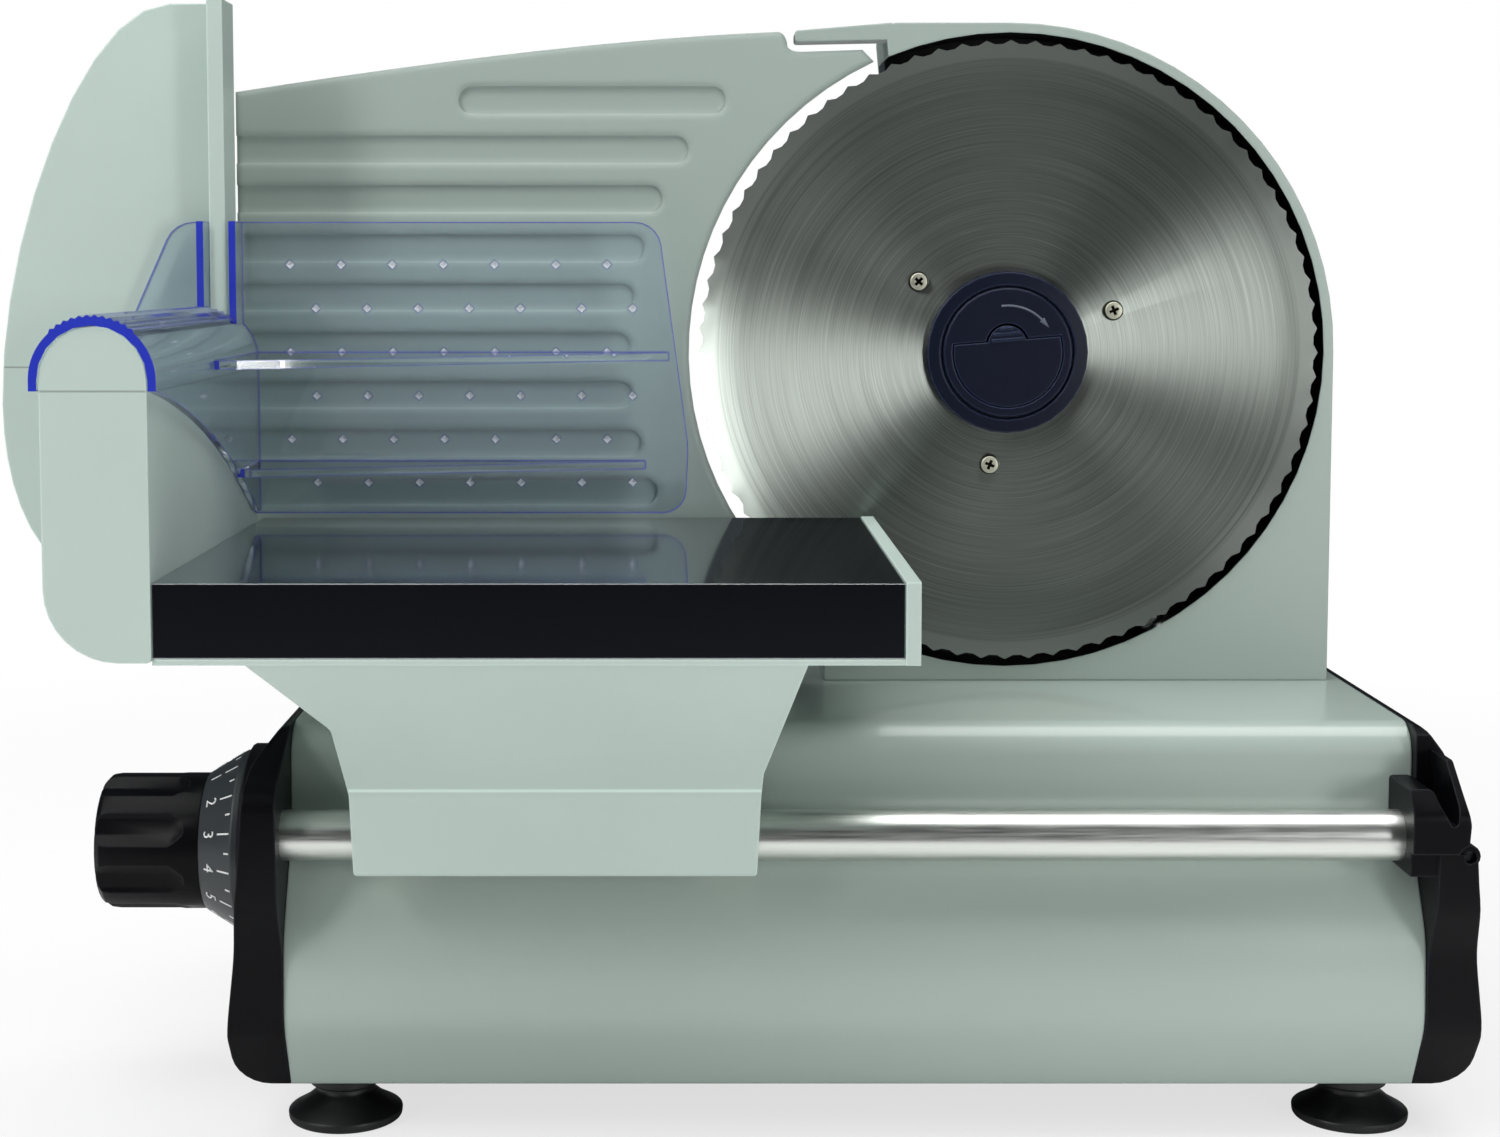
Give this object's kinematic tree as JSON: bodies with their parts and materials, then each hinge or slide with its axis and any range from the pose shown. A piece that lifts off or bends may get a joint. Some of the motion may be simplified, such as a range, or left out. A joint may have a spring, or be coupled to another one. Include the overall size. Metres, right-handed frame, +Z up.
{
  "type": "electric food slicer",
  "caption": "Electric food slicer with a scalloped round blade, sliding food tray on a rod, clear food pusher, ribbed thickness plate and side thickness dial.",
  "frame": {"origin": "middle of the machine's bounding box, on the surface that the feet stand on", "axes": "+X to the right along the carriage travel, +Y away from the user, +Z up"},
  "size_m": [0.425, 0.2564, 0.321],
  "materials": {
    "grey_paint": "glossy grey enamel",
    "grey_plastic": "smooth grey moulding",
    "black_plastic": "fine grained black moulding",
    "dial_grey": "dark grey moulding",
    "lock_plastic": "dark blue-black moulding",
    "clear_plastic": "clear, slightly blue",
    "rubber": "soft black",
    "blade_steel": "circular brushed",
    "mirror_steel": "polished stainless sheet",
    "rod_steel": "polished",
    "steel": "plain",
    "bronze": "plain",
    "nylon": "plain"
  },
  "bodies": {
    "base": {"base_housing": "grey_paint", "bottom_plate": "black_plastic", "left_end_cap": "black_plastic", "right_end_cap": "black_plastic", "foot_front_left": "rubber", "foot_rear_left": "rubber", "foot_front_right": "rubber", "foot_rear_right": "rubber", "slide_rod": "rod_steel", "catch_pin": "steel", "blade_housing": "grey_paint", "rear_cover": "grey_paint", "cover_screw_1": "steel", "cover_screw_2": "steel", "cover_screw_3": "steel", "cover_screw_4": "steel", "blade_spindle": "steel", "motor_body": "steel", "motor_bracket": "steel", "worm_top_bearing": "bronze", "guide_rod_1": "steel", "guide_rod_2": "steel", "rod_holder_front": "grey_plastic", "rod_holder_rear": "grey_plastic", "switch_body": "black_plastic", "cord_gland": "black_plastic"},
    "rod_catch": {"rod_catch": "black_plastic"},
    "blade": {"blade_disc": "blade_steel", "blade_gear": "nylon", "gear_bush": "bronze", "blade_screw_1": "bronze", "blade_screw_2": "bronze", "blade_screw_3": "bronze", "lock_collar": "lock_plastic"},
    "blade_lock": {"lock_knob": "lock_plastic"},
    "lock_flap": {"lock_flap": "lock_plastic"},
    "worm": {"worm_shaft": "steel", "motor_rotor": "steel"},
    "carriage": {"tray_cover": "mirror_steel", "tray_frame": "grey_plastic", "carriage_wall": "grey_plastic", "carriage_bracket": "grey_plastic", "rod_bush_left": "nylon", "rod_bush_right": "nylon", "carriage_glide": "nylon"},
    "pusher": {"food_pusher": "clear_plastic"},
    "plate": {"thickness_plate": "grey_paint", "plate_arm": "steel", "slide_block": "nylon", "follower_pin": "steel"},
    "dial": {"thickness_knob": "black_plastic", "dial_ring": "dial_grey", "dial_shaft": "steel", "scroll_cam": "nylon"},
    "switch": {"switch_rocker": "black_plastic"}
  },
  "joints": [
    {"name": "blade_spin", "type": "hinge", "parent": "base", "child": "blade", "pos_m": [0.09152, 0.02881, 0.217], "axis": [0, 1, 0], "continuous": true},
    {"name": "worm_spin", "type": "hinge", "parent": "base", "child": "worm", "pos_m": [0.13872, 0.04, 0.217], "axis": [0, 0, 1], "continuous": true},
    {"name": "lock_turn", "type": "hinge", "parent": "blade", "child": "blade_lock", "pos_m": [0.09152, 0.02881, 0.217], "axis": [0, 1, 0], "range_deg": [0, 90]},
    {"name": "flap_hinge", "type": "hinge", "parent": "blade_lock", "child": "lock_flap", "pos_m": [0.09132, 0.0291, 0.21949], "axis": [-0.9966, 0, -0.0819], "range_deg": [0, 90]},
    {"name": "carriage_slide", "type": "slide", "parent": "base", "child": "carriage", "axis": [1, 0, 0], "range_m": [-0.015, 0.165]},
    {"name": "pusher_slide", "type": "slide", "parent": "carriage", "child": "pusher", "axis": [0, -1, 0], "range_m": [0, 0.07]},
    {"name": "dial_turn", "type": "hinge", "parent": "base", "child": "dial", "pos_m": [-0.10848, 0.0038, 0.0712], "axis": [1, 0, 0], "range_deg": [-250.3, 75.3]},
    {"name": "plate_slide", "type": "slide", "parent": "base", "child": "plate", "axis": [0, 1, 0], "range_m": [-0.003, 0.01]},
    {"name": "catch_hinge", "type": "hinge", "parent": "base", "child": "rod_catch", "pos_m": [0.20502, -0.0562, 0.0839], "axis": [0, 1, 0], "range_deg": [0, 75]},
    {"name": "switch_rock", "type": "hinge", "parent": "base", "child": "switch", "pos_m": [0.05152, 0.12261, 0.066], "axis": [1, 0, 0], "range_deg": [-16, 0]}
  ],
  "couplings": [
    {"joint": "worm_spin", "follows": "blade_spin", "ratio": 56},
    {"joint": "dial_turn", "follows": "plate_slide", "rad_per_m": -436.33}
  ]
}
